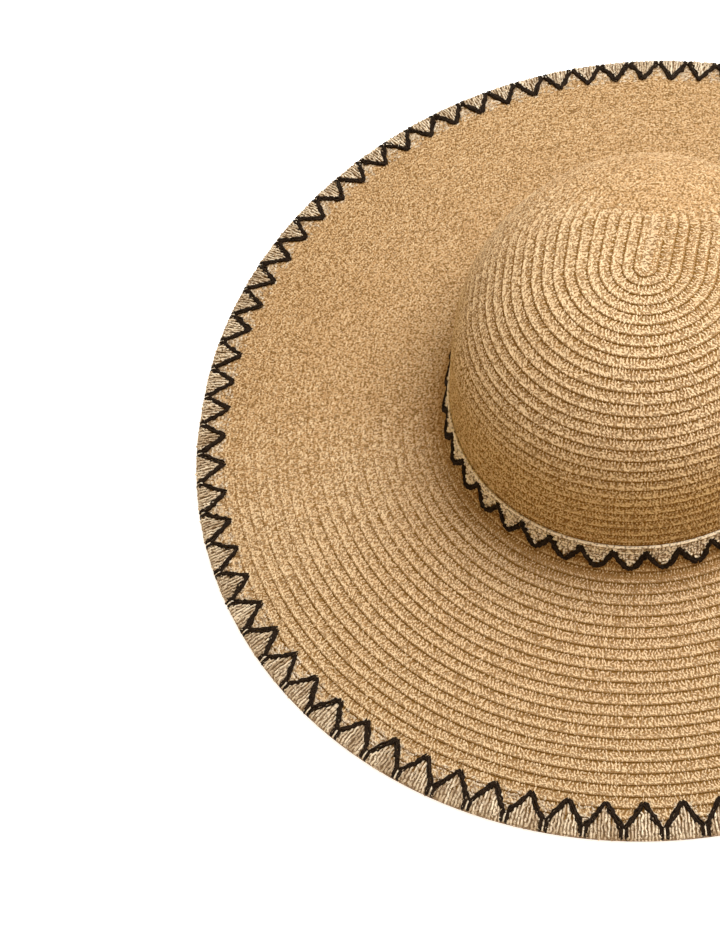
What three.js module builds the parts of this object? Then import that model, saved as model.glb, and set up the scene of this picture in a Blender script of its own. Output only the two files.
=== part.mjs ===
import * as THREE from 'three';

// Driving dimensions, millimetres and degrees
// The hat's wall is followed from the tip of the crown outward; arc is the distance along the straw
const wallSlopes = [
  { arc: 0, slope: 7.8 },
  { arc: 27.5, slope: 10.8 },
  { arc: 121.5, slope: 83.5 },
  { arc: 153, slope: 85.5 },
  { arc: 166, slope: 66.5 },
  { arc: 177.3, slope: 7.5 },
  { arc: 297, slope: 9.3 },
];
const brimEdgeArc = 297;
const strawThickness = 1.8;
const tipOval = 11.1;
const bodyOval = 5.1;
const tipOvalReach = 100;
const crownLean = { x: 9, y: 3.6 };
const jointArc = 160;
const tipArc = 5;
const crownTurns = 17;
const brimFootArcs = [163, 166, 169, 172, 174.7, 177.3];
const brimOuterArcs = [215, 255];
const bandTopArc = 152.3;
const bandCordArc = 153.5;
const bandCordFootArc = 154.9;
const bandMiddleArc = 160;
const bandFootArc = 166;
const bandThickness = 1;
const bandCordRise = 0.9;
const bandCordFootRise = 0.1;
const borderInnerArc = 282.2;
const borderThickness = 0.8;
const borderEdgeWidth = 2.2;
const borderEdgeHeight = { top: 2.2, bottom: 1 };
const borderEdgeBevel = 1;
const restingRingWidth = 4;
const seam = 0.3;
const turns = 80;
const traceStep = 0.5;

const borderBottomLift = -(strawThickness + seam + borderThickness);

// The wall's slope below level at a distance along the straw
function slopeAt(arc) {
  const next = wallSlopes.findIndex((knot) => knot.arc >= arc);
  if (next <= 0) return wallSlopes[0].slope;
  const a = wallSlopes[next - 1];
  const b = wallSlopes[next];
  return a.slope + ((b.slope - a.slope) * (arc - a.arc)) / (b.arc - a.arc);
}

// The wall's outer line, radius outward and height down from the tip
const trace = [{ r: 0, z: 0 }];
for (let arc = traceStep; arc <= brimEdgeArc; arc += traceStep) {
  const slope = THREE.MathUtils.degToRad(slopeAt(arc - traceStep / 2));
  const last = trace[trace.length - 1];
  trace.push({
    r: last.r + traceStep * Math.cos(slope),
    z: last.z - traceStep * Math.sin(slope),
  });
}
const brimEdge = trace[trace.length - 1];
const tipHeight = -brimEdge.z - borderBottomLift;

// The braid starts as a slit along the tip, so its turns are ovals that grow rounder outward
function ovalAt(arc) {
  const share = Math.max(0, 1 - arc / tipOvalReach);
  return bodyOval + (tipOval - bodyOval) * share * share;
}

// A point of a section: the wall's outer line at an arc, lifted off the straw by a height
function onWall(arc, lift) {
  const at = Math.min(arc / traceStep, trace.length - 1.001);
  const i = Math.floor(at);
  const r = THREE.MathUtils.lerp(trace[i].r, trace[i + 1].r, at - i);
  const z = THREE.MathUtils.lerp(trace[i].z, trace[i + 1].z, at - i);
  const slope = THREE.MathUtils.degToRad(slopeAt(arc));
  return {
    r: r + lift * Math.sin(slope),
    z: tipHeight + z + lift * Math.cos(slope),
    oval: ovalAt(arc),
  };
}

// The soft crown leans a little to one side, more towards its top
const crownFoot = onWall(jointArc, 0).z;
function leanAt(z) {
  const share = Math.max(0, (z - crownFoot) / (tipHeight - crownFoot));
  return share * share;
}

// One turn of points round a section point
function addTurn(positions, { r, z, oval }) {
  const lean = leanAt(z);
  for (let i = 0; i < turns; i += 1) {
    const angle = ((i + 0.5) / turns) * 2 * Math.PI;
    const side = Math.sign(Math.sin(angle));
    positions.push(
      r * Math.cos(angle) + lean * crownLean.x,
      r * Math.sin(angle) + side * oval + lean * crownLean.y,
      z,
    );
  }
}

// Faces between two turns of points
function joinTurns(faces, from, to) {
  for (let i = 0; i < turns; i += 1) {
    const j = (i + 1) % turns;
    const a = from * turns + i;
    const b = from * turns + j;
    const c = to * turns + i;
    const d = to * turns + j;
    faces.push(a, c, d, a, d, b);
  }
}

function solid(positions, faces) {
  const geometry = new THREE.BufferGeometry();
  geometry.setAttribute('position', new THREE.Float32BufferAttribute(positions, 3));
  geometry.setIndex(faces);
  geometry.computeVertexNormals();
  return geometry;
}

// A ring whose section is a closed loop of points, listed from its upper side outward and back
function ringSolid(section) {
  const positions = [];
  const faces = [];
  section.forEach((point) => addTurn(positions, point));
  section.forEach((point, i) => joinTurns(faces, i, (i + 1) % section.length));
  return solid(positions, faces);
}

// A dome whose section runs from the tip's upper face down the outside and back up the inside
function domeSolid(section) {
  const positions = [];
  const faces = [];
  section.forEach((point) => addTurn(positions, point));
  for (let i = 0; i + 1 < section.length; i += 1) joinTurns(faces, i, i + 1);
  const lastTurn = (section.length - 1) * turns;
  for (let i = 1; i + 1 < turns; i += 1) {
    faces.push(0, i, i + 1);
    faces.push(lastTurn, lastTurn + i + 1, lastTurn + i);
  }
  return solid(positions, faces);
}

function arcsBetween(first, last, count) {
  return Array.from({ length: count }, (_, i) => THREE.MathUtils.lerp(first, last, i / (count - 1)));
}

function piece(name, geometry, colour, roughness) {
  const material = new THREE.MeshStandardMaterial({ color: colour, roughness, metalness: 0 });
  const mesh = new THREE.Mesh(geometry, material);
  mesh.name = name;
  return mesh;
}

// Crown: a hollow dome of straw
const crownArcs = arcsBetween(tipArc, jointArc, crownTurns);
const crown = domeSolid([
  ...crownArcs.map((arc) => onWall(arc, 0)),
  ...crownArcs.map((arc) => onWall(arc, -strawThickness)).reverse(),
]);

// Brim: a wide ring of straw whose foot turns up under the crown
const brimStart = jointArc + seam;
const strawEndArc = brimEdgeArc - borderEdgeWidth;
const brimArcs = [brimStart, ...brimFootArcs, ...brimOuterArcs, strawEndArc];
const brim = ringSolid([
  ...brimArcs.map((arc) => onWall(arc, 0)),
  ...brimArcs.map((arc) => onWall(arc, -strawThickness)).reverse(),
]);

// Crown band: an embroidered ribbon round the foot of the crown, with a cord along its upper edge
const bandLift = seam + bandThickness;
const crownBand = ringSolid([
  onWall(bandTopArc, seam),
  onWall(bandTopArc, bandLift),
  onWall(bandCordArc, bandLift + bandCordRise),
  onWall(bandCordFootArc, bandLift + bandCordFootRise),
  onWall(bandMiddleArc, bandLift),
  onWall(bandFootArc, bandLift),
  onWall(bandFootArc, seam),
  onWall(bandMiddleArc, seam),
]);

// Edge border: an embroidered binding folded over the brim's edge, level underneath where it rests
const borderTopLift = seam + borderThickness;
const foldArc = strawEndArc + seam;
const level = (inward, height) => ({ r: brimEdge.r - inward, z: height, oval: bodyOval });
const edgeBorder = ringSolid([
  onWall(borderInnerArc, borderTopLift),
  onWall(foldArc, borderTopLift),
  level(0, borderEdgeHeight.top),
  level(0, borderEdgeHeight.bottom),
  level(borderEdgeBevel, 0),
  level(borderEdgeBevel + restingRingWidth, 0),
  onWall(borderInnerArc, borderBottomLift),
  onWall(borderInnerArc, -strawThickness - seam),
  onWall(foldArc, -strawThickness - seam),
  onWall(foldArc, seam),
  onWall(borderInnerArc, seam),
]);

const strawColour = '#d8b077';
const threadColour = '#cdbb98';
const hat = new THREE.Group();
hat.add(
  piece('crown', crown, strawColour, 0.75),
  piece('brim', brim, strawColour, 0.75),
  piece('crown_band', crownBand, threadColour, 0.85),
  piece('edge_border', edgeBorder, threadColour, 0.85),
);

export default hat;
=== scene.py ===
import math
from collections import namedtuple

import bmesh
import bpy
import numpy as np
from mathutils import Matrix, Vector


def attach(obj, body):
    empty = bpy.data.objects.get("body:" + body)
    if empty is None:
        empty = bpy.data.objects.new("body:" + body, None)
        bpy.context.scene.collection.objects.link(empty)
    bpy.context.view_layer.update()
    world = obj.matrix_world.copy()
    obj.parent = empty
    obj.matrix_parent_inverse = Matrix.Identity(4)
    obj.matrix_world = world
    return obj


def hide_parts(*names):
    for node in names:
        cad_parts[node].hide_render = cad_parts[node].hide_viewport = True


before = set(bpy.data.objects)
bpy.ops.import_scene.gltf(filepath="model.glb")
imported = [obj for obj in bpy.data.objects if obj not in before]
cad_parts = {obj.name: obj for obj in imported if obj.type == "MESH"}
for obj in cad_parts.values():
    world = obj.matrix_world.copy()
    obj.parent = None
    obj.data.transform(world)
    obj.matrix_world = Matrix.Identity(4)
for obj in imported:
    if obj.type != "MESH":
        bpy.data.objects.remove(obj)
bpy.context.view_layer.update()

# Camera
# It looks down on the hat from the front, from a little to the hat's left, and the hat runs out of
# the picture on the right.
camera_distance = 1.35
camera_azimuth = math.radians(6.85)
camera_elevation = math.radians(56.78)
camera_yaw = math.radians(17.68)
camera_pitch = math.radians(56.86)
camera_roll = math.radians(-13.23)
sensor_millimetres = 36
focal_millimetres = 106.95
brim_edge_height = 0.0023

camera_place = Vector((
    math.sin(camera_azimuth) * math.cos(camera_elevation),
    -math.cos(camera_azimuth) * math.cos(camera_elevation),
    math.sin(camera_elevation),
)) * camera_distance + Vector((0, 0, brim_edge_height))
camera_lens = bpy.data.cameras.new("camera")
camera_lens.sensor_width = sensor_millimetres
camera_lens.lens = focal_millimetres
camera = bpy.data.objects.new("camera", camera_lens)
bpy.context.collection.objects.link(camera)
camera.matrix_world = (
    Matrix.Translation(camera_place)
    @ Matrix.Rotation(camera_yaw, 4, "Z")
    @ Matrix.Rotation(math.pi / 2 - camera_pitch, 4, "X")
    @ Matrix.Rotation(camera_roll, 4, "Z")
)
bpy.context.scene.camera = camera

# Crown
# A dome of paper-straw braid, sewn turn over turn from a slit at the tip down to the brim. Each
# turn laps over the next one, so its outer edge stands proud and the next turn starts in a groove
# darkened with painted shade.
mm = 0.001
wall_slopes = (
    (0, 7.8), (27.5, 10.8), (121.5, 83.5), (153, 85.5), (166, 66.5), (177.3, 7.5), (297, 9.3),
)
brim_edge_arc = 297 * mm
straw_thickness = 1.8 * mm
tip_oval = 14 * mm
body_oval = 5.1 * mm
tip_oval_reach = 100 * mm
crown_lean = (9 * mm, 3.6 * mm)
tip_turn = math.radians(-7)
tip_turn_reach = 40 * mm
drawn_in = 1.7 * mm
drawn_way = (math.cos(math.radians(148)), math.sin(math.radians(148)))
drawn_fade = 6
joint_arc = 160 * mm
braid_width = 5.375 * mm
edge_under_wall = 2.9 * mm
flat_lap = 0.15
proud_all_round = (-3, -2)
tiny = 1e-9
same_place = 1e-6

# The wall's outer line, followed from the tip outward in small steps along the straw
trace_step = 0.5 * mm
trace_count = 601
trace_arc = np.arange(0, trace_count) * trace_step
knot_arc = np.array([knot[0] for knot in wall_slopes]) * mm
knot_slope = np.radians([knot[1] for knot in wall_slopes])
trace_slope = np.interp(trace_arc, knot_arc, knot_slope)
middle_slope = np.interp(trace_arc[1:] - trace_step / 2, knot_arc, knot_slope)
trace_radius = np.concatenate(([0], np.cumsum(np.cos(middle_slope) * trace_step)))
trace_height = -np.concatenate(([0], np.cumsum(np.sin(middle_slope) * trace_step)))
trace_height += edge_under_wall - np.interp(brim_edge_arc, trace_arc, trace_height)
edge_radius = float(np.interp(brim_edge_arc, trace_arc, trace_radius))


def wall(arc):
    """Radius, height, slope and oval of the hat's outer line at distances along the straw."""
    share = np.clip(1 - arc / tip_oval_reach, 0, None)
    return (
        np.interp(arc, trace_arc, trace_radius),
        np.interp(arc, trace_arc, trace_height),
        np.interp(arc, trace_arc, trace_slope),
        body_oval + (tip_oval - body_oval) * share ** 2,
    )


def settle(points):
    """Move points as the soft hat lies: the slit at its tip is turned a little, its crown leans,
    its brim draws in a little at the back left."""
    radius = np.hypot(points[..., 0], points[..., 1]) + tiny
    turned = tip_turn * np.exp(-(radius / tip_turn_reach) ** 2)
    points[..., 0], points[..., 1] = (
        points[..., 0] * np.cos(turned) - points[..., 1] * np.sin(turned),
        points[..., 0] * np.sin(turned) + points[..., 1] * np.cos(turned))
    towards = points[..., 0] * drawn_way[0] + points[..., 1] * drawn_way[1]
    towards = np.clip(towards / radius, 0, None)
    points[..., :2] *= (1 - drawn_in * radius * towards ** drawn_fade / edge_radius ** 2)[..., None]
    foot = wall(joint_arc)[1]
    share = np.clip((points[..., 2] - foot) / (trace_height[0] - foot), 0, None) ** 2
    points[..., 0] += share * crown_lean[0]
    points[..., 1] += share * crown_lean[1]
    return points


def turn_length(arc):
    """The whole way round the hat at a distance along the straw."""
    radius, _, _, oval = wall(arc)
    return 2 * math.pi * radius + 4 * oval


def on_turn(radius, oval, along):
    """Places on an oval turn, counted from the front towards the wearer's left, and ways out."""
    quarter = radius * math.pi / 2
    length = 4 * quarter + 4 * oval
    a = np.mod(along, length)
    ends = np.stack([quarter, quarter + 2 * oval, 3 * quarter + 2 * oval, 3 * quarter + 4 * oval])
    leg = np.sum(a[None] >= ends, axis=0)
    angle = np.choose(leg, [
        a / radius - math.pi / 2,
        np.zeros_like(a),
        (a - ends[1]) / radius,
        np.full_like(a, math.pi),
        math.pi + (a - ends[3]) / radius,
    ])
    middle = np.choose(leg, [
        -oval + 0 * a, a - ends[0] - oval, oval + 0 * a, oval - (a - ends[2]), -oval + 0 * a,
    ])
    out = np.stack([np.cos(angle), np.sin(angle)], axis=-1)
    place = out * radius[..., None]
    place[..., 1] += middle
    return place, out


def on_wall(home, along, arc, lift):
    """Points over the straw, with the ways down the wall, round the hat and off the straw."""
    home, along, arc, lift = np.broadcast_arrays(
        *(np.asarray(value, dtype=float) for value in (home, along, arc, lift)))
    home_radius, _, _, home_oval = wall(home)
    radius, height, slope, oval = wall(arc)
    place, out = on_turn(home_radius, home_oval, along)
    place = place + out * (radius - home_radius)[..., None]
    down = np.concatenate([out * np.cos(slope)[..., None], -np.sin(slope)[..., None]], axis=-1)
    off = np.concatenate([out * np.sin(slope)[..., None], np.cos(slope)[..., None]], axis=-1)
    round_way = np.stack([-out[..., 1], out[..., 0], np.zeros_like(height)], axis=-1)
    points = np.concatenate([place, height[..., None]], axis=-1) + off * lift[..., None]
    return settle(points), down, round_way, off


crease_angle = math.radians(60)


def keep(name, mesh, material, node=None):
    """Finish a piece: its material, the body it rides on and the node it stands for."""
    mesh.materials.append(material)
    mesh.polygons.foreach_set("use_smooth", [True] * len(mesh.polygons))
    mesh.set_sharp_from_angle(angle=crease_angle)
    piece = bpy.data.objects.new(name, mesh)
    bpy.context.collection.objects.link(piece)
    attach(piece, "root")
    if node:
        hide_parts(node)


def section_on_wall(points):
    """Section points of radius, height, arc, groove shade and relief from arc, lift, groove shade
    and relief. The groove shade is painted shade.
    """
    arc, lift, groove_shade, relief = np.array(points).T
    radius, height, slope, _ = wall(arc)
    return np.stack([
        radius + lift * np.sin(slope), height + lift * np.cos(slope), arc, groove_shade, relief], axis=-1)


def lap_share(front, laps):
    """How proud a turn's edge stands: fully towards the front, pressed nearly flat to the back.
    Front runs from -1 at the back to 1 at the front, and laps is where the edge starts and ends to
    rise."""
    return np.interp(front, laps, (flat_lap, 1))


def lay_map(mesh, angle, side, arc, first_groove):
    """Lay a map on a spun mesh: metres round the hat, which run straight along each turn, and
    metres down from a groove."""
    corner = np.empty(len(mesh.loops), dtype=np.int32)
    mesh.loops.foreach_get("vertex_index", corner)
    size = np.empty(len(mesh.polygons), dtype=np.int32)
    mesh.polygons.foreach_get("loop_total", size)
    face = np.repeat(np.arange(len(size)), size)
    widest = np.zeros(len(size))
    np.maximum.at(widest, face, angle[corner])
    face_arc = np.bincount(face, arc[corner]) / size
    row = np.floor((face_arc - first_groove) / braid_width)
    row_radius, _, _, row_oval = wall(first_groove + (row + 0.5) * braid_width)
    past = (widest[face] > math.pi * 1.5) & (angle[corner] < math.pi / 2)
    straight = np.where(angle[corner] < math.pi, 1 + side[corner], 3 - side[corner]) + 4 * past
    around = row_radius[face] * (angle[corner] + 2 * math.pi * past) + row_oval[face] * straight
    layer = mesh.uv_layers.new(name="unrolled")
    layer.data.foreach_set("uv", np.stack([around, arc[corner] - first_groove], axis=-1).ravel())


def spun(name, section, steps, first_groove=0.0, laps=proud_all_round):
    """Spin a section about the hat's axis, lay a map on it and draw it out to the hat's oval."""
    ring = bmesh.new()
    layers = [ring.verts.layers.float.new(kind) for kind in ("arc", "groove_shade", "relief")]
    verts = []
    for radius, height, *values in section.tolist():
        vert = ring.verts.new((radius, 0, height))
        for layer, value in zip(layers, values):
            vert[layer] = value
        verts.append(vert)
    edges = [ring.edges.new(pair) for pair in zip(verts, verts[1:] + verts[:1])]
    bmesh.ops.spin(
        ring, geom=verts + edges, axis=(0, 0, 1), cent=(0, 0, 0), angle=2 * math.pi,
        steps=steps, use_merge=True,
    )
    bmesh.ops.remove_doubles(ring, verts=ring.verts, dist=same_place)
    bmesh.ops.recalc_face_normals(ring, faces=ring.faces)
    mesh = bpy.data.meshes.new(name)
    ring.to_mesh(mesh)
    ring.free()

    points = np.empty(len(mesh.vertices) * 3)
    mesh.vertices.foreach_get("co", points)
    points = points.reshape(-1, 3)
    arc, groove_shade, relief = np.empty((3, len(mesh.vertices)), dtype=np.float32)
    mesh.attributes["arc"].data.foreach_get("value", arc)
    mesh.attributes["groove_shade"].data.foreach_get("value", groove_shade)
    mesh.attributes["relief"].data.foreach_get("value", relief)
    _, _, slope, oval = wall(arc)
    side = np.sign(np.round(points[:, 1], 7))
    angle = np.arctan2(points[:, 0], -points[:, 1])
    angle = np.mod(angle + same_place, 2 * math.pi) - same_place
    share = lap_share(np.cos(angle), laps)
    # Painted shade in the grooves: full where the laps stand proud, faint where they are pressed
    # flat
    mesh.attributes["groove_shade"].data.foreach_set("value", (groove_shade * share).astype(np.float32))
    stand = mesh.attributes.new("stand", "FLOAT", "POINT")
    stand.data.foreach_set("value", share.astype(np.float32))
    flatter = relief * (share - 1)
    points[:, 0] += np.sin(angle) * np.sin(slope) * flatter
    points[:, 1] -= np.cos(angle) * np.sin(slope) * flatter
    points[:, 2] += np.cos(slope) * flatter
    lay_map(mesh, angle, side, arc, first_groove)
    points[:, 1] += side * oval
    mesh.vertices.foreach_set("co", settle(points).ravel())
    mesh.update()
    return mesh


class Shade:
    """A shader socket that takes arithmetic."""

    def __init__(self, tree, socket):
        self.tree = tree
        self.socket = socket

    def node(self, kind, settings=None, out=0, **inputs):
        """Add a node of a kind; its settings are set first, then its sockets' values or links."""
        made = self.tree.nodes.new(kind)
        for name, value in (settings or {}).items():
            setattr(made, name, value)
        for name, value in inputs.items():
            key = int(name[1:]) if name[0] == "i" and name[1:].isdigit() else name.replace("_", " ")
            if isinstance(value, Shade):
                self.tree.links.new(value.socket, made.inputs[key])
            else:
                made.inputs[key].default_value = value
        return Shade(self.tree, made.outputs[out])

    def maths(self, operation, *values):
        """A plain operation on values, by its name in Blender."""
        return self.node(
            "ShaderNodeMath", {"operation": operation},
            **{f"i{i}": value for i, value in enumerate(values)})

    def __add__(self, other):
        return self.maths("ADD", self, other)

    __radd__ = __add__

    def __mul__(self, other):
        return self.maths("MULTIPLY", self, other)

    __rmul__ = __mul__

    def __sub__(self, other):
        return self.maths("SUBTRACT", self, other)

    def __rsub__(self, other):
        return self.maths("SUBTRACT", other, self)

    def __truediv__(self, other):
        return self.maths("DIVIDE", self, other)

    def part(self):
        """What is left of the value past its last whole step."""
        return self.maths("FRACT", self)

    def wave(self):
        """A smooth hump for each whole step of the value, from 0 to 1 and back."""
        return self.maths("PINGPONG", self, 0.5) * 2

    def noise(self, scale, detail=2.0):
        """Soft random noise over this place."""
        return self.node("ShaderNodeTexNoise", Vector=self, Scale=scale, Detail=detail)

    def span(self, low, high):
        """How far the value has come from a low one, at 0, to a high one, at 1."""
        return self.node(
            "ShaderNodeMapRange", {"clamp": True}, Value=self, From_Min=low, From_Max=high,
            To_Min=0.0, To_Max=1.0)

    def tint(self, low, high):
        """A colour between two colours by this value."""
        return self.node(
            "ShaderNodeMix", {"data_type": "RGBA"}, out=2, i0=self, i6=(*low, 1), i7=(*high, 1))

    def over(self, base, colour):
        """A colour laid over another by this value."""
        colour = colour if isinstance(colour, Shade) else (*colour, 1)
        return self.node("ShaderNodeMix", {"data_type": "RGBA"}, out=2, i0=self, i6=base, i7=colour)


def new_material(name, roughness, specular):
    """A start for a material's expressions, and the call that gives it its colour and bump."""
    material = bpy.data.materials.new(name)
    material.use_nodes = True
    tree = material.node_tree
    shader = tree.nodes["Principled BSDF"]
    shader.inputs["Roughness"].default_value = roughness
    shader.inputs["Specular IOR Level"].default_value = specular
    start = Shade(tree, None)

    def finish(colour, height=None, depth=0.0):
        tree.links.new(colour.socket, shader.inputs["Base Color"])
        if height:
            bump = start.node("ShaderNodeBump", Height=height, Distance=depth, Strength=1.0)
            tree.links.new(bump.socket, shader.inputs["Normal"])
        return material

    return start, finish


straw_light = (0.70, 0.495, 0.285)
straw_middle = (0.50, 0.29, 0.128)
straw_dark = (0.29, 0.145, 0.046)
straw_dip_shade = (0.20, 0.096, 0.027)
straw_gap_shade = (0.16, 0.072, 0.013)
# Painted shade on the crown's side: the gold its straw is multiplied by, and the heights where it
# fades in and out
side_shade_gold = (0.87, 0.79, 0.59)
side_top = (100 * mm, 70 * mm)
side_foot = (22 * mm, 30 * mm)
strand_width = 1.3 * mm


def paint_side_shade(colour, place):
    """Painted shade on the crown's side: its straw made a deeper gold than that of its top and
    of the brim.
    """
    height = place.node("ShaderNodeSeparateXYZ", out=2, Vector=place)
    side = height.span(*side_top) * height.span(*side_foot)
    return side.node(
        "ShaderNodeMix", {"data_type": "RGBA", "blend_type": "MULTIPLY"}, out=2,
        i0=side, i6=colour, i7=(*side_shade_gold, 1))


def painted_dip_shade(place):
    """Painted shade in small dips between the strands' crossings, about a millimetre apart."""
    return place.noise(900.0, 0.5).span(0.49, 0.40)


# The braid's ground: slanting lower strands, with painted shade in the gaps near a turn's groove,
# under the edge of the turn before, fading paler towards its outer edge. Where the laps are pressed
# flat, at the back, the painted shade gives way to a pale ground with more painted shade in small
# dips.
straw, finish = new_material("straw_ground", roughness=0.7, specular=0.0)
place = straw.node("ShaderNodeTexCoord", out=3)
unrolled = straw.node("ShaderNodeUVMap", {"uv_map": "unrolled"})
u = straw.node("ShaderNodeSeparateXYZ", out=0, Vector=unrolled)
v = straw.node("ShaderNodeSeparateXYZ", out=1, Vector=unrolled)
across = (v / braid_width).part()
wobble = place.noise(500.0)
fleck = place.noise(1700.0)
strands = ((u + v * 0.5) / strand_width + wobble * 1.5).wave()
rim = across.span(0.1, 0.6)
lit = strands * 0.55 + fleck * 0.75 - 0.15
dip_shade = painted_dip_shade(place)
ground = lit.span(0.1, 0.9).tint(straw_gap_shade, straw_dark)
stand = straw.node("ShaderNodeAttribute", {"attribute_name": "stand"}, out=2)
rim = rim * stand * 0.8 + (1 - stand)
pale = (lit + 0.35 * (1 - stand)).span(0.1, 0.9).tint(straw_dark, straw_middle)
colour = rim.over(ground, pale)
colour = (dip_shade * (1.0 - 0.75 * stand)).over(colour, straw_dip_shade)
# Painted shade darkens each groove between the turns
groove_shade = straw.node("ShaderNodeAttribute", {"attribute_name": "groove_shade"}, out=2)
colour = (groove_shade * (0.5 + fleck)).span(0, 1).over(colour, straw_gap_shade)
straw_ground = finish(paint_side_shade(colour, place), strands * 0.6 + fleck * 0.4, depth=0.5 * mm)

# The braid's raised grains: pale strands of paper straw, uneven in tone, with the same painted
# shade in small dips
straw, finish = new_material("straw_grain", roughness=0.55, specular=0.01)
place = straw.node("ShaderNodeTexCoord", out=3)
grain_tone = straw.node("ShaderNodeAttribute", {"attribute_name": "tone"}, out=2)
fleck = place.noise(2400.0)
patch = place.noise(35.0)
dip_shade = painted_dip_shade(place)
tone = grain_tone * 0.8 + fleck * 0.4 + patch * 0.3 - 0.12
colour = tone.span(0.12, 0.9).tint(straw_middle, straw_light)
colour = (dip_shade * 0.7).over(colour, straw_dip_shade)
straw_grain = finish(paint_side_shade(colour, place), fleck - dip_shade, depth=0.15 * mm)

# One turn of braid across its width: how far across, how high in millimetres, and how much painted
# shade darkens its groove. Its outer edge laps over the next turn, so it ends in a small step.
slit_clear = 1 * mm
slit_half_width = 0.05 * mm
crown_steps = 112
turn_section = (
    (0.00, -0.25, 1.0), (0.04, -0.23, 0.9), (0.09, -0.17, 0.0),
    (0.88, 0.17, 0.0), (0.97, 0.15, 0.0), (1.00, 0.04, 0.9),
)


def braid_shell(name, grooves, start, end, steps, laps, node):
    """A closed wall of braid: turns outside, and the same turns seen from inside."""
    outer = [(start, 0, 0, 0)]
    for groove_arc in grooves:
        for across, lift, shade in turn_section:
            arc = groove_arc + across * braid_width
            if max(start, slit_clear) < arc < end:
                outer.append((arc, lift * mm, shade, lift * mm))
    outer.append((end, 0, 0, 0))
    inner = [
        (arc, -straw_thickness - lift / 2, shade, -lift / 2) for arc, lift, shade, _ in outer[::-2]]
    section = section_on_wall(outer + inner)
    section[:, 0] = np.maximum(section[:, 0], slit_half_width)
    mesh = spun(name, section, steps, grooves[0], laps)
    keep(name, mesh, straw_ground, node)


crown_grooves = np.arange(0, 30) * braid_width
crown_laps = (-0.6, -0.05)
braid_shell("crown_straw", crown_grooves, 0.0, joint_arc, crown_steps, crown_laps, "crown")

# A kind of grain in a turn: its place across the turn, its slant and the slant's spread in degrees,
# its length, width, pitch and height in millimetres, its tone, how far it strays in millimetres,
# and its side: 1 where the laps stand, -1 where they are pressed flat, 0 all round.
Grain = namedtuple("Grain", "across slant spread length width pitch height tone stray side")
uneven_place = 0.25
uneven_length = (0.75, 1.2)
uneven_width = (0.85, 1.15)
uneven_height = (0.8, 1.2)
uneven_tone = 0.10
most_bend = 0.9
change_spread = 0.15
change_overlap = 0.15
ridge_height = 1.0
foot_height = -0.35
end_height = -0.1
foot_width = 1.15
spindle_bend = 0.6
barrel_bend = 0.2
barrel_end_bend = 0.75


def grain_shape(barrel):
    """A sliver two units long and wide: three sides, its ridge upwards, bent like a flat S. It
    keeps its thickness along a share of its length, its barrel, and a barrel of 0 gives a pointed
    spindle."""
    sliver = bmesh.new()
    bmesh.ops.create_cone(
        sliver, segments=3, radius1=1, radius2=1 if barrel else 0, depth=2, cap_ends=True,
        matrix=Matrix.Rotation(math.pi / 2, 4, "Y"))
    top = max(vert.co.z for vert in sliver.verts)
    for vert in sliver.verts:
        end = math.copysign(1.0, vert.co.x)
        if math.hypot(vert.co.y, vert.co.z) < 0.5:
            vert.co = (end, end * spindle_bend, end_height)
        else:
            vert.co.x *= barrel
            vert.co.y = vert.co.y * foot_width + end * barrel_bend * (barrel > 0)
            vert.co.z = ridge_height if vert.co.z > top - 0.1 else foot_height
    for cap in [face for face in sliver.faces if abs(face.normal.x) > 0.9]:
        end = math.copysign(1.0, cap.normal.x)
        poked = bmesh.ops.poke(sliver, faces=[cap])
        poked["verts"][0].co = (end, end * barrel_end_bend, end_height)
    bmesh.ops.triangulate(sliver, faces=sliver.faces)
    sliver.verts.index_update()
    shape = np.array([vert.co[:] for vert in sliver.verts])
    faces = np.array([[vert.index for vert in face.verts] for face in sliver.faces])
    sliver.free()
    return shape, faces


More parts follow.
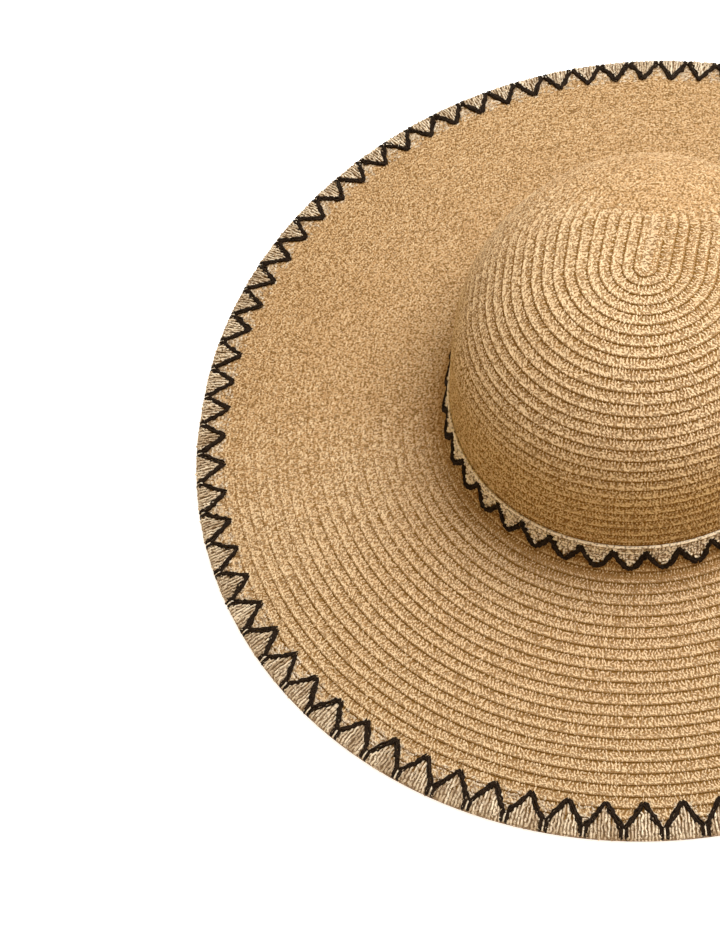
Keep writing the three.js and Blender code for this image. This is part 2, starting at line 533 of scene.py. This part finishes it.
def lay_grains(
        name, rows, kinds, laps, material, seed, wanted=None, over=0.0, barrel=0.0):
    """Lay raised grains over turns of braid: pointed slivers of straw, slanted across the turn."""
    random = np.random.default_rng(seed)
    groups = []
    change = (laps[0] + laps[1]) / 2
    for row_arc in rows:
        for kind in kinds:
            middle = row_arc + kind.across * braid_width
            whole = turn_length(np.array(middle))
            count = int(whole / (kind.pitch * mm))
            shifted = np.arange(count) + random.uniform(-uneven_place, uneven_place, count)
            groups.append(np.stack([
                np.full(count, middle),
                middle + random.normal(0, kind.stray, count) * mm,
                shifted * whole / count,
                np.radians(kind.slant + random.normal(0, kind.spread, count)),
                kind.length * mm * random.uniform(*uneven_length, count),
                kind.width * mm * random.uniform(*uneven_width, count),
                kind.height * mm * random.uniform(*uneven_height, count),
                kind.tone + random.normal(0, uneven_tone, count),
                random.uniform(-most_bend, most_bend, count),
                np.full(count, kind.side),
                change + random.normal(0, change_spread, count),
            ]))
    grains = np.concatenate(groups, axis=1)
    if wanted is not None:
        grains = grains[:, wanted(grains[1], grains[2])]
    home, arc, along, *_, side, limit = grains
    front = on_wall(home, along, arc, over)[2][:, 0]
    grains = grains[:, side * (front - limit) >= -change_overlap]
    home, arc, along, slant, length, width, high, tone, bend, _, _ = grains
    centre, down, round_way, off = on_wall(home, along, arc, over)
    within = np.mod(arc - rows[0], braid_width) / braid_width
    rise = np.interp(within, [p[0] for p in turn_section], [p[1] for p in turn_section]) * mm
    centre += off * (rise * lap_share(round_way[:, 0], laps))[:, None]
    lengthwise = down * np.cos(slant)[:, None] + round_way * np.sin(slant)[:, None]
    sideways = round_way * np.cos(slant)[:, None] - down * np.sin(slant)[:, None]
    shape, faces = grain_shape(barrel)
    aside = shape[None, :, 1:2] + bend[:, None, None] * shape[None, :, 0:1] ** 2
    points = (
        centre[:, None]
        + lengthwise[:, None] * shape[None, :, 0:1] * length[:, None, None] / 2
        + sideways[:, None] * aside * width[:, None, None] / 2
        + off[:, None] * shape[None, :, 2:3] * high[:, None, None])
    faces = faces[None] + (np.arange(len(arc)) * len(shape))[:, None, None]
    mesh = bpy.data.meshes.new(name)
    mesh.from_pydata(points.reshape(-1, 3), [], faces.reshape(-1, faces.shape[-1]))
    tone_layer = mesh.attributes.new("tone", "FLOAT", "POINT")
    tone_layer.data.foreach_set("value", np.repeat(tone, len(shape)))
    keep(name, mesh, material)


above_piping = 152.6 * mm


def above_band(arc, along):
    """Whether a place on the crown is clear of the band's piping."""
    return arc < above_piping


standing_kinds = (
    Grain(0.21, -34, 30, 2.1, width=1.55, pitch=1.55, height=0.36, tone=0.70, stray=0.16, side=1),
    Grain(0.42, -34, 28, 2.1, width=1.65, pitch=1.50, height=0.36, tone=0.69, stray=0.16, side=1),
    Grain(0.62, 12, 28, 2.0, width=1.65, pitch=1.50, height=0.36, tone=0.69, stray=0.16, side=1),
)
edge_kinds = (
    Grain(0.79, 14, 24, 2.3, width=1.60, pitch=1.28, height=0.36, tone=0.74, stray=0.08, side=1),
)
slit_kinds = (
    Grain(0.03, 0, 14, 2.6, width=1.4, pitch=1.3, height=0.36, tone=0.7, stray=0.0, side=0),
    Grain(0.26, 0, 24, 2.2, width=1.3, pitch=1.4, height=0.36, tone=0.7, stray=0.2, side=0),
)


def flat_kinds(width):
    """Three rows of short grains that lie every way, with no groove between the turns."""
    return tuple(
        Grain(
            across, slant, 60, 2.35, width, pitch=1.36, height=0.30, tone=0.30, stray=0.42, side=-1)
        for across, slant in ((0.17, 20), (0.50, -20), (0.83, 20)))


grained_turns = crown_grooves[:29]
lay_grains(
    "crown_grains", grained_turns, standing_kinds + flat_kinds(1.25), crown_laps, straw_grain, 11,
    above_band)
lay_grains(
    "tip_grains", crown_grooves[:1], slit_kinds, crown_laps, straw_grain, 10, over=0.25 * mm,
    barrel=0.6)
lay_grains("crown_edge_loops", grained_turns, edge_kinds, crown_laps, straw_grain, 12, above_band)

# Brim
# The same braid runs on from the crown's foot, almost level, out to the edge. Its last turns lie
# under the border's stitches.
border_groove = 282.17 * mm
brim_grooves = border_groove + np.arange(-23, 3) * braid_width
brim_laps = (0.1, 0.62)
brim_start = joint_arc + 0.3 * mm
straw_end = brim_edge_arc - 1.5 * mm
brim_steps = 144
braid_shell("brim_straw", brim_grooves, brim_start, straw_end, brim_steps, brim_laps, "brim")

# The border's arches and the band's zigzag, which the brim's grains keep clear of: the arches are
# numbered round the hat, and swayed so that they are wider at the front
arch_count = 82
arch_phase = 1.79
arch_sway = (16.7 * mm, -0.95 * mm)
arch_home = 280 * mm
arch_apex = 281.4 * mm
arch_foot = 294.2 * mm
arch_front_shift = (-1.7 * mm, -2.2 * mm)
arch_home_whole = turn_length(np.array(arch_home))
arch_clearance = 0.2 * mm
arches_before_front = 6
before_front = 100 * mm


def arch_along(number):
    """Distance round the brim, from the front, to an arch."""
    turn = 2 * math.pi * (number - arch_phase) / arch_count
    return -(
        arch_home_whole * turn / (2 * math.pi)
        + arch_sway[0] * np.sin(turn) + arch_sway[1] * np.sin(2 * turn))


def arch_arc(number, share):
    """Distance down the wall of an arch's arm, from its apex at 0 to its foot at 1."""
    front = np.clip(np.cos(2 * math.pi * (number - arch_phase) / arch_count), 0, None) ** 2
    apex = arch_apex + front * arch_front_shift[0]
    return apex + (arch_foot + front * arch_front_shift[1] - apex) * share


def outside_arches(arc, along):
    """Whether a place on the brim is clear of the border's arches."""
    numbers = np.arange(-arches_before_front, arch_count + 3)
    home = -along / turn_length(arc) * arch_home_whole
    home = np.mod(home + before_front, arch_home_whole) - before_front
    number = np.interp(home, -arch_along(numbers), numbers)
    away = np.abs(number - np.round(number)) * 2
    return arc < arch_arc(number, away) - arch_clearance


zigzag_count = 39
zigzag_home = 156 * mm
zigzag_peak = 157.2 * mm
zigzag_foot = 167.4 * mm
zigzag_phase = 6.2 * mm
zigzag_step = turn_length(np.array(zigzag_home)) / zigzag_count
straw_clearance = 1.6 * mm
fill_clearance = 1.0 * mm
fill_top = 154.6 * mm
fringe_start = 280 * mm
fringe_depth = 2.6
fringe_spread = 1.0


def zigzag_line(arc, along):
    """How far down the wall the zigzag thread runs at places round the hat."""
    home = -along / turn_length(arc) * zigzag_count - zigzag_phase / zigzag_step
    away = np.abs(home - np.round(home)) * 2
    return zigzag_peak + (zigzag_foot - zigzag_peak) * away


def brim_straw_shows(arc, along):
    """Whether a place on the brim is clear of the arches and of the zigzag."""
    return outside_arches(arc, along) & (arc > zigzag_line(arc, along) + straw_clearance)


def border_fill_shows(arc, along):
    """A ragged fringe of small stitches in the valleys between the arches."""
    ragged = np.random.default_rng(42).normal(fringe_depth, fringe_spread, arc.shape) * mm
    return outside_arches(arc, along) & ~outside_arches(arc + ragged, along) & (arc > fringe_start)


def band_fill_shows(arc, along):
    """Whether a place on the band lies between its piping and the zigzag."""
    return (arc > fill_top) & (arc < zigzag_line(arc, along) - fill_clearance)


for name, first, last in (("inner", 0, 15), ("outer", 15, 26)):
    lay_grains(
        f"brim_grains_{name}", brim_grooves[first:last], standing_kinds + flat_kinds(1.4),
        brim_laps, straw_grain, 23 + first, brim_straw_shows)
lay_grains(
    "brim_edge_loops", brim_grooves, edge_kinds, brim_laps, straw_grain, 22, brim_straw_shows)

# Crown band
# An embroidered ribbon round the crown's foot: a smooth piped cord along its top, pale stitches
# hanging from it in points, and a thick black zigzag thread along the points.
thread_pale = (0.92, 0.745, 0.53)
thread_deep = (0.30, 0.17, 0.07)
thread_dip_shade = (0.20, 0.105, 0.045)
black_lit = (0.055, 0.033, 0.018)
black_deep = (0.005, 0.002, 0.001)
narrow_end = 0.5
thread_tone = 0.6

# Pale thread, uneven in tone, with painted shade in small dips between its strands
thread, finish = new_material("pale_thread", roughness=0.55, specular=0.1)
place = thread.node("ShaderNodeTexCoord", out=3)
stitch_tone = thread.node("ShaderNodeAttribute", {"attribute_name": "tone"}, out=2)
fleck = place.noise(2200.0)
dip_shade = place.noise(850.0, 1.0).span(0.47, 0.37)
tone = stitch_tone * 0.7 + fleck * 0.45
colour = tone.span(0.2, 0.9).tint(thread_deep, thread_pale)
colour = (dip_shade * 0.75).over(colour, thread_dip_shade)
pale_thread = finish(colour, fleck - dip_shade, depth=0.2 * mm)

thread, finish = new_material("black_thread", roughness=0.7, specular=0.05)
place = thread.node("ShaderNodeTexCoord", out=3)
fleck = place.noise(2600.0)
colour = fleck.span(0.42, 0.72).tint(black_deep, black_lit)
black_thread = finish(colour, fleck, depth=0.2 * mm)


def lay_strands(name, points, radius, material, tone=None, uneven=0.0):
    """Round strands laid along many paths, with narrowed ends and an uneven twist, none lower than
    the table."""
    random = np.random.default_rng(len(points))
    curve = bpy.data.curves.new(name, "CURVE")
    curve.dimensions = "3D"
    curve.bevel_depth = radius
    curve.bevel_resolution = 1
    curve.use_fill_caps = True
    count, steps = points.shape[:2]
    thick = np.ones(steps)
    thick[[0, -1]] = narrow_end
    for path in points:
        spline = curve.splines.new("POLY")
        spline.points.add(steps - 1)
        spline.points.foreach_set("co", np.column_stack([path, np.ones(steps)]).ravel())
        spline.points.foreach_set("radius", thick * random.uniform(1 - uneven, 1 + uneven, steps))
    strands = bpy.data.objects.new(name, curve)
    mesh = bpy.data.meshes.new_from_object(strands)
    mesh.materials.clear()
    bpy.data.objects.remove(strands)
    place = np.empty(len(mesh.vertices) * 3)
    mesh.vertices.foreach_get("co", place)
    place[2::3] = np.maximum(place[2::3], 0)
    mesh.vertices.foreach_set("co", place)
    tone = np.full(count, thread_tone) if tone is None else tone
    tone_layer = mesh.attributes.new("tone", "FLOAT", "POINT")
    tone_layer.data.foreach_set("value", np.repeat(tone, len(mesh.vertices) // count))
    keep(name, mesh, material)


def stitches(
        name, home, alongs, arcs, lifts, radius, material, seed, offset=0.0, wander=0.0, **more):
    """Strands given by distances round the hat and down the wall, each shifted sideways by an
    offset and straying from its path by a wander."""
    alongs, arcs, lifts = np.broadcast_arrays(alongs, arcs, lifts)
    random = np.random.default_rng(seed)
    alongs = alongs + random.normal(0, 1, alongs.shape) * wander
    arcs = arcs + random.normal(0, 1, arcs.shape) * wander
    along_step = np.gradient(alongs, axis=1)
    arc_step = np.gradient(arcs, axis=1)
    step = np.hypot(along_step, arc_step)
    alongs = alongs - arc_step / step * offset
    arcs = arcs + along_step / step * offset
    points = on_wall(home, alongs, arcs, lifts)[0]
    lay_strands(name, points, radius, material, **more)


piping_arc = 153.2 * mm
piping_lift = 0.6 * mm
piping_radius = 0.75 * mm
piping_tone = 1.25
piping_steps = 144
circle = np.radians(np.arange(0, 360, 30))
piping = spun("band_piping", section_on_wall([
    (piping_arc + piping_radius * math.cos(a), piping_lift + piping_radius * math.sin(a), 0, 0)
    for a in circle
]), piping_steps)
tone_layer = piping.attributes.new("tone", "FLOAT", "POINT")
tone_layer.data.foreach_set("value", [piping_tone] * len(piping.vertices))
keep("band_piping", piping, pale_thread, "crown_band")

# Pale ground stitches that hang from the piping to the zigzag, and a knotted layer over them
hangers_per_point = 10
hanger_lift = -0.25 * mm
hanger_radius = 0.85 * mm
hanger_tone = 0.1
number = np.arange(zigzag_count * hangers_per_point)
hanger_along = -(zigzag_phase + (number + 0.5) / hangers_per_point * zigzag_step)
hanger_foot = zigzag_line(zigzag_home, hanger_along)
share = np.linspace(0, 1, 5)
hanger_arcs = piping_arc + share * (hanger_foot - piping_arc)[:, None]
stitches(
    "band_ground", zigzag_home, hanger_along[:, None], hanger_arcs, hanger_lift, hanger_radius,
    pale_thread, seed=30, tone=np.full(len(number), hanger_tone))
fill_kinds = tuple(
    Grain(
        across, slant, 35, 1.9, width=1.15, pitch=1.50, height=0.45, tone=1.25, stray=0.25, side=0)
    for across, slant in ((0.0, -30), (0.35, 30), (0.68, -30)))
fill_rows = 155.4 * mm + np.arange(2) * braid_width
lay_grains(
    "band_fill", fill_rows, fill_kinds, crown_laps, pale_thread, 31, band_fill_shows,
    over=0.75 * mm, barrel=0.6)

# The black thread's arms, which cross at each peak and run down to the points on both sides. Three
# strands lie together, two below and one over them.
past_peak = -0.09
zigzag_radius = 0.6 * mm
peaks = -(zigzag_phase + np.arange(zigzag_count) * zigzag_step)
share = np.linspace(past_peak, 1, 12)
ways = np.tile([-1, 1], zigzag_count)
zigzag_alongs = np.repeat(peaks, 2)[:, None] + ways[:, None] * share * zigzag_step / 2
bowed = 0.3 * share + 0.7 * np.sin(share * math.pi / 2)
zigzag_arcs = zigzag_peak + bowed * (zigzag_foot - zigzag_peak)
for name, offset, lift in (("left", -0.7, 0.9), ("right", 0.7, 0.9), ("middle", 0.0, 1.3)):
    stitches(
        f"zigzag_{name}", zigzag_home, zigzag_alongs, zigzag_arcs, lift * mm, zigzag_radius,
        black_thread, offset=offset * mm, wander=0.34 * mm, seed=5 + len(name), uneven=0.3)

# Edge border
# The brim's edge is bound with pale satin stitches that end in pointed arches, each arch outlined
# in thick black thread whose two legs run on to the edge side by side.
binding_deep = (0.13, 0.068, 0.028)
binding_lit = (0.28, 0.17, 0.08)
rib_width = 1.9 * mm
binding_steps = 192

# The binding's ground, a brown cloth under the satin stitches: its dark brown also stands as
# painted shade in the gaps between the stitches, and its ribs are painted lighter on their crests
# as painted light
cloth, finish = new_material("binding_ground", roughness=0.7, specular=0.2)
place = cloth.node("ShaderNodeTexCoord", out=3)
unrolled = cloth.node("ShaderNodeUVMap", {"uv_map": "unrolled"})
u = cloth.node("ShaderNodeSeparateXYZ", out=0, Vector=unrolled)
fleck = place.noise(1800.0)
ribs = (u / rib_width).wave()
colour = (ribs * 0.5 + fleck * 0.6).span(0.2, 0.9).tint(binding_deep, binding_lit)
binding_ground = finish(colour, ribs * 0.6 + fleck * 0.4, depth=0.4 * mm)

# The binding's section: over the straw, round the edge, level where it rests, and back underneath
above = section_on_wall([
    (arc * mm, lift * mm, 0, 0)
    for arc, lift in ((289.6, 0.1), (290.4, 0.35), (295.5, 0.3), (296.4, 0.0))
])
beneath = section_on_wall([
    (arc * mm, lift * mm, 0, 0) for arc, lift in ((282.2, -2.9), (282.2, -2.0), (294.9, -2.0))
])
edge = np.array([
    (edge_radius - 0.6 * mm, 2.0 * mm, brim_edge_arc, 0, 0),
    (edge_radius - 0.6 * mm, 1.0 * mm, brim_edge_arc, 0, 0),
    (edge_radius - 1.2 * mm, 0, brim_edge_arc, 0, 0),
    (edge_radius - 5.0 * mm, 0, 292 * mm, 0, 0),
])
binding = spun("edge_binding", np.concatenate([above, edge, beneath]), binding_steps)
keep("edge_binding", binding, binding_ground, "edge_border")

# Small pale stitches between the arches
between_kinds = tuple(
    Grain(
        across, slant, 50, 2.0, width=1.50, pitch=1.05, height=0.36, tone=0.42, stray=0.35, side=0)
    for across, slant in ((0.17, 26), (0.50, -26), (0.83, 26)))
lay_grains(
    "border_fill", brim_grooves[22:], between_kinds, brim_laps, pale_thread, 41, border_fill_shows,
    over=0.25 * mm)

# Satin stitches inside the arches, wrapped over the edge: places over it are in millimetres, down
# the wall and off the straw
satin_per_arch = 10
satin_spread = 0.86
satin_below_arm = 1.2 * mm
satin_lift = 0.7 * mm
satin_radius = 0.58 * mm
satin_tones = (0.25, 0.82)
over_edge = np.array([(295.3, 0.6), (296.0, 0.1), (296.1, -1.1), (295.8, -2.1), (294.5, -2.6)]) * mm
number = np.arange(arch_count * satin_per_arch)
within = ((number % satin_per_arch + 0.5) / satin_per_arch - 0.5) * satin_spread
satin_along = arch_along(number // satin_per_arch + within)
satin_top = arch_arc(number // satin_per_arch, np.abs(within) * 2) + satin_below_arm
share = np.linspace(0, 1, 8)[:-1]
satin_arcs = satin_top[:, None] + share * (over_edge[0, 0] - satin_top)[:, None]
satin_arcs = np.concatenate([satin_arcs, np.tile(over_edge[:, 0], (len(number), 1))], axis=1)
satin_lifts = np.concatenate([np.full(len(share), satin_lift), over_edge[:, 1]])
satin_tone = np.random.default_rng(43).uniform(*satin_tones, len(number))
stitches(
    "satin_stitches", arch_home, satin_along[:, None], satin_arcs, satin_lifts, satin_radius,
    pale_thread, wander=0.24 * mm, seed=9, tone=satin_tone, uneven=0.2)

# The arches' black arms, from each apex down to the junctions on both sides
arm_reach = 0.47
arm_radius = 0.6 * mm
number = np.repeat(np.arange(arch_count), 2)
ways = np.tile([-1, 1], arch_count)
share = np.linspace(0, 1, 10)
arm_alongs = arch_along(number[:, None] + ways[:, None] * share * arm_reach)
arm_arcs = arch_arc(number[:, None], share)
for name, offset, lift in (("left", -0.68, 0.95), ("right", 0.68, 0.95), ("middle", 0.0, 1.3)):
    stitches(
        f"arch_arms_{name}", arch_home, arm_alongs, arm_arcs, lift * mm, arm_radius,
        black_thread, offset=offset * mm, wander=0.32 * mm, seed=15 + len(name), uneven=0.25)

# The legs, a pair from each junction over the edge, with pale stitches in the gap between them
leg_top = 0.93
leg_apart = 1.3 * mm
leg_radius = 0.52 * mm
leg_start = arch_arc(number, leg_top)[:, None]
leg_arcs = np.concatenate([
    leg_start + (over_edge[0, 0] - leg_start) * np.array([0, 0.35, 0.7]),
    np.tile(over_edge[:, 0], (len(number), 1))], axis=1)
leg_lifts = np.concatenate([[1.0 * mm, 1.2 * mm, 1.0 * mm], over_edge[:, 1] + 0.1 * mm])
leg_alongs = arch_along(number + 0.5)[:, None] + ways[:, None] * leg_apart
for name, offset in (("left", -0.42), ("right", 0.42)):
    stitches(
        f"arch_legs_{name}", arch_home, leg_alongs, leg_arcs, leg_lifts, leg_radius, black_thread,
        offset=offset * mm, wander=0.1 * mm, seed=25 + len(name))
gap_radius = 0.42 * mm
gap_drop = 0.2 * mm
gap_tone = 0.8
stitches(
    "leg_gap_stitches", arch_home, arch_along(number[::2] + 0.5)[:, None], leg_arcs[::2],
    leg_lifts - gap_drop, gap_radius, pale_thread, wander=0.08 * mm, seed=35,
    tone=np.full(arch_count, gap_tone))

# Floor and light
# A plain pale light table under one broad soft light, overhead and to the picture's right, and a
# weaker cool one behind it. A warm ceiling and a plain pale wall all round fill the shade.
floor_size = 12
floor_drop = 0.5 * mm
floor_greys = ((0.93, 0.93, 0.93), (0.95, 0.95, 0.95))
floor_glow = 0.85
bpy.ops.mesh.primitive_plane_add(size=floor_size, location=(0, 0, -floor_drop))
floor = bpy.context.object
floor.name = "floor"
table, finish = new_material("pale_floor", roughness=0.9, specular=0.1)
place = table.node("ShaderNodeTexCoord", out=3)
pale_floor = finish(place.noise(3.0, 1.0).span(0, 1).tint(*floor_greys))
glow = pale_floor.node_tree.nodes["Principled BSDF"].inputs
glow["Emission Color"].default_value = (1, 1, 1, 1)
glow["Emission Strength"].default_value = floor_glow
floor.data.materials.append(pale_floor)


def soft_light(name, place, size, energy, colour):
    """A round soft light that faces the hat: its size in metres and its energy in watts."""
    light = bpy.data.lights.new(name, "AREA")
    light.shape = "DISK"
    light.size = size
    light.energy = energy
    light.color = colour
    lamp = bpy.data.objects.new(name, light)
    bpy.context.collection.objects.link(lamp)
    lamp.location = place
    lamp.rotation_euler = (-lamp.location).to_track_quat("-Z", "Y").to_euler()


soft_light("overhead", (0.36, 0.16, 1.08), 0.9, 22.2, (0.90, 0.99, 1.12))
soft_light("behind", (0.5, 1.0, 1.1), 0.5, 3.5, (0.5, 1.0, 1.4))

wall_colour = (0.55, 0.50, 0.42)
ceiling_colour = (0.40, 0.268, 0.052)
wall_top = (0.22, 0.34)
world = bpy.data.worlds.new("studio")
bpy.context.scene.world = world
world.use_nodes = True
room = Shade(world.node_tree, None)
upward = room.node("ShaderNodeSeparateXYZ", out=2, Vector=room.node("ShaderNodeTexCoord", out=0))
room_light = upward.span(*wall_top).tint(wall_colour, ceiling_colour)
world.node_tree.links.new(room_light.socket, world.node_tree.nodes["Background"].inputs["Color"])

bpy.context.scene.view_settings.view_transform = "Standard"
bpy.context.scene.view_settings.look = "None"
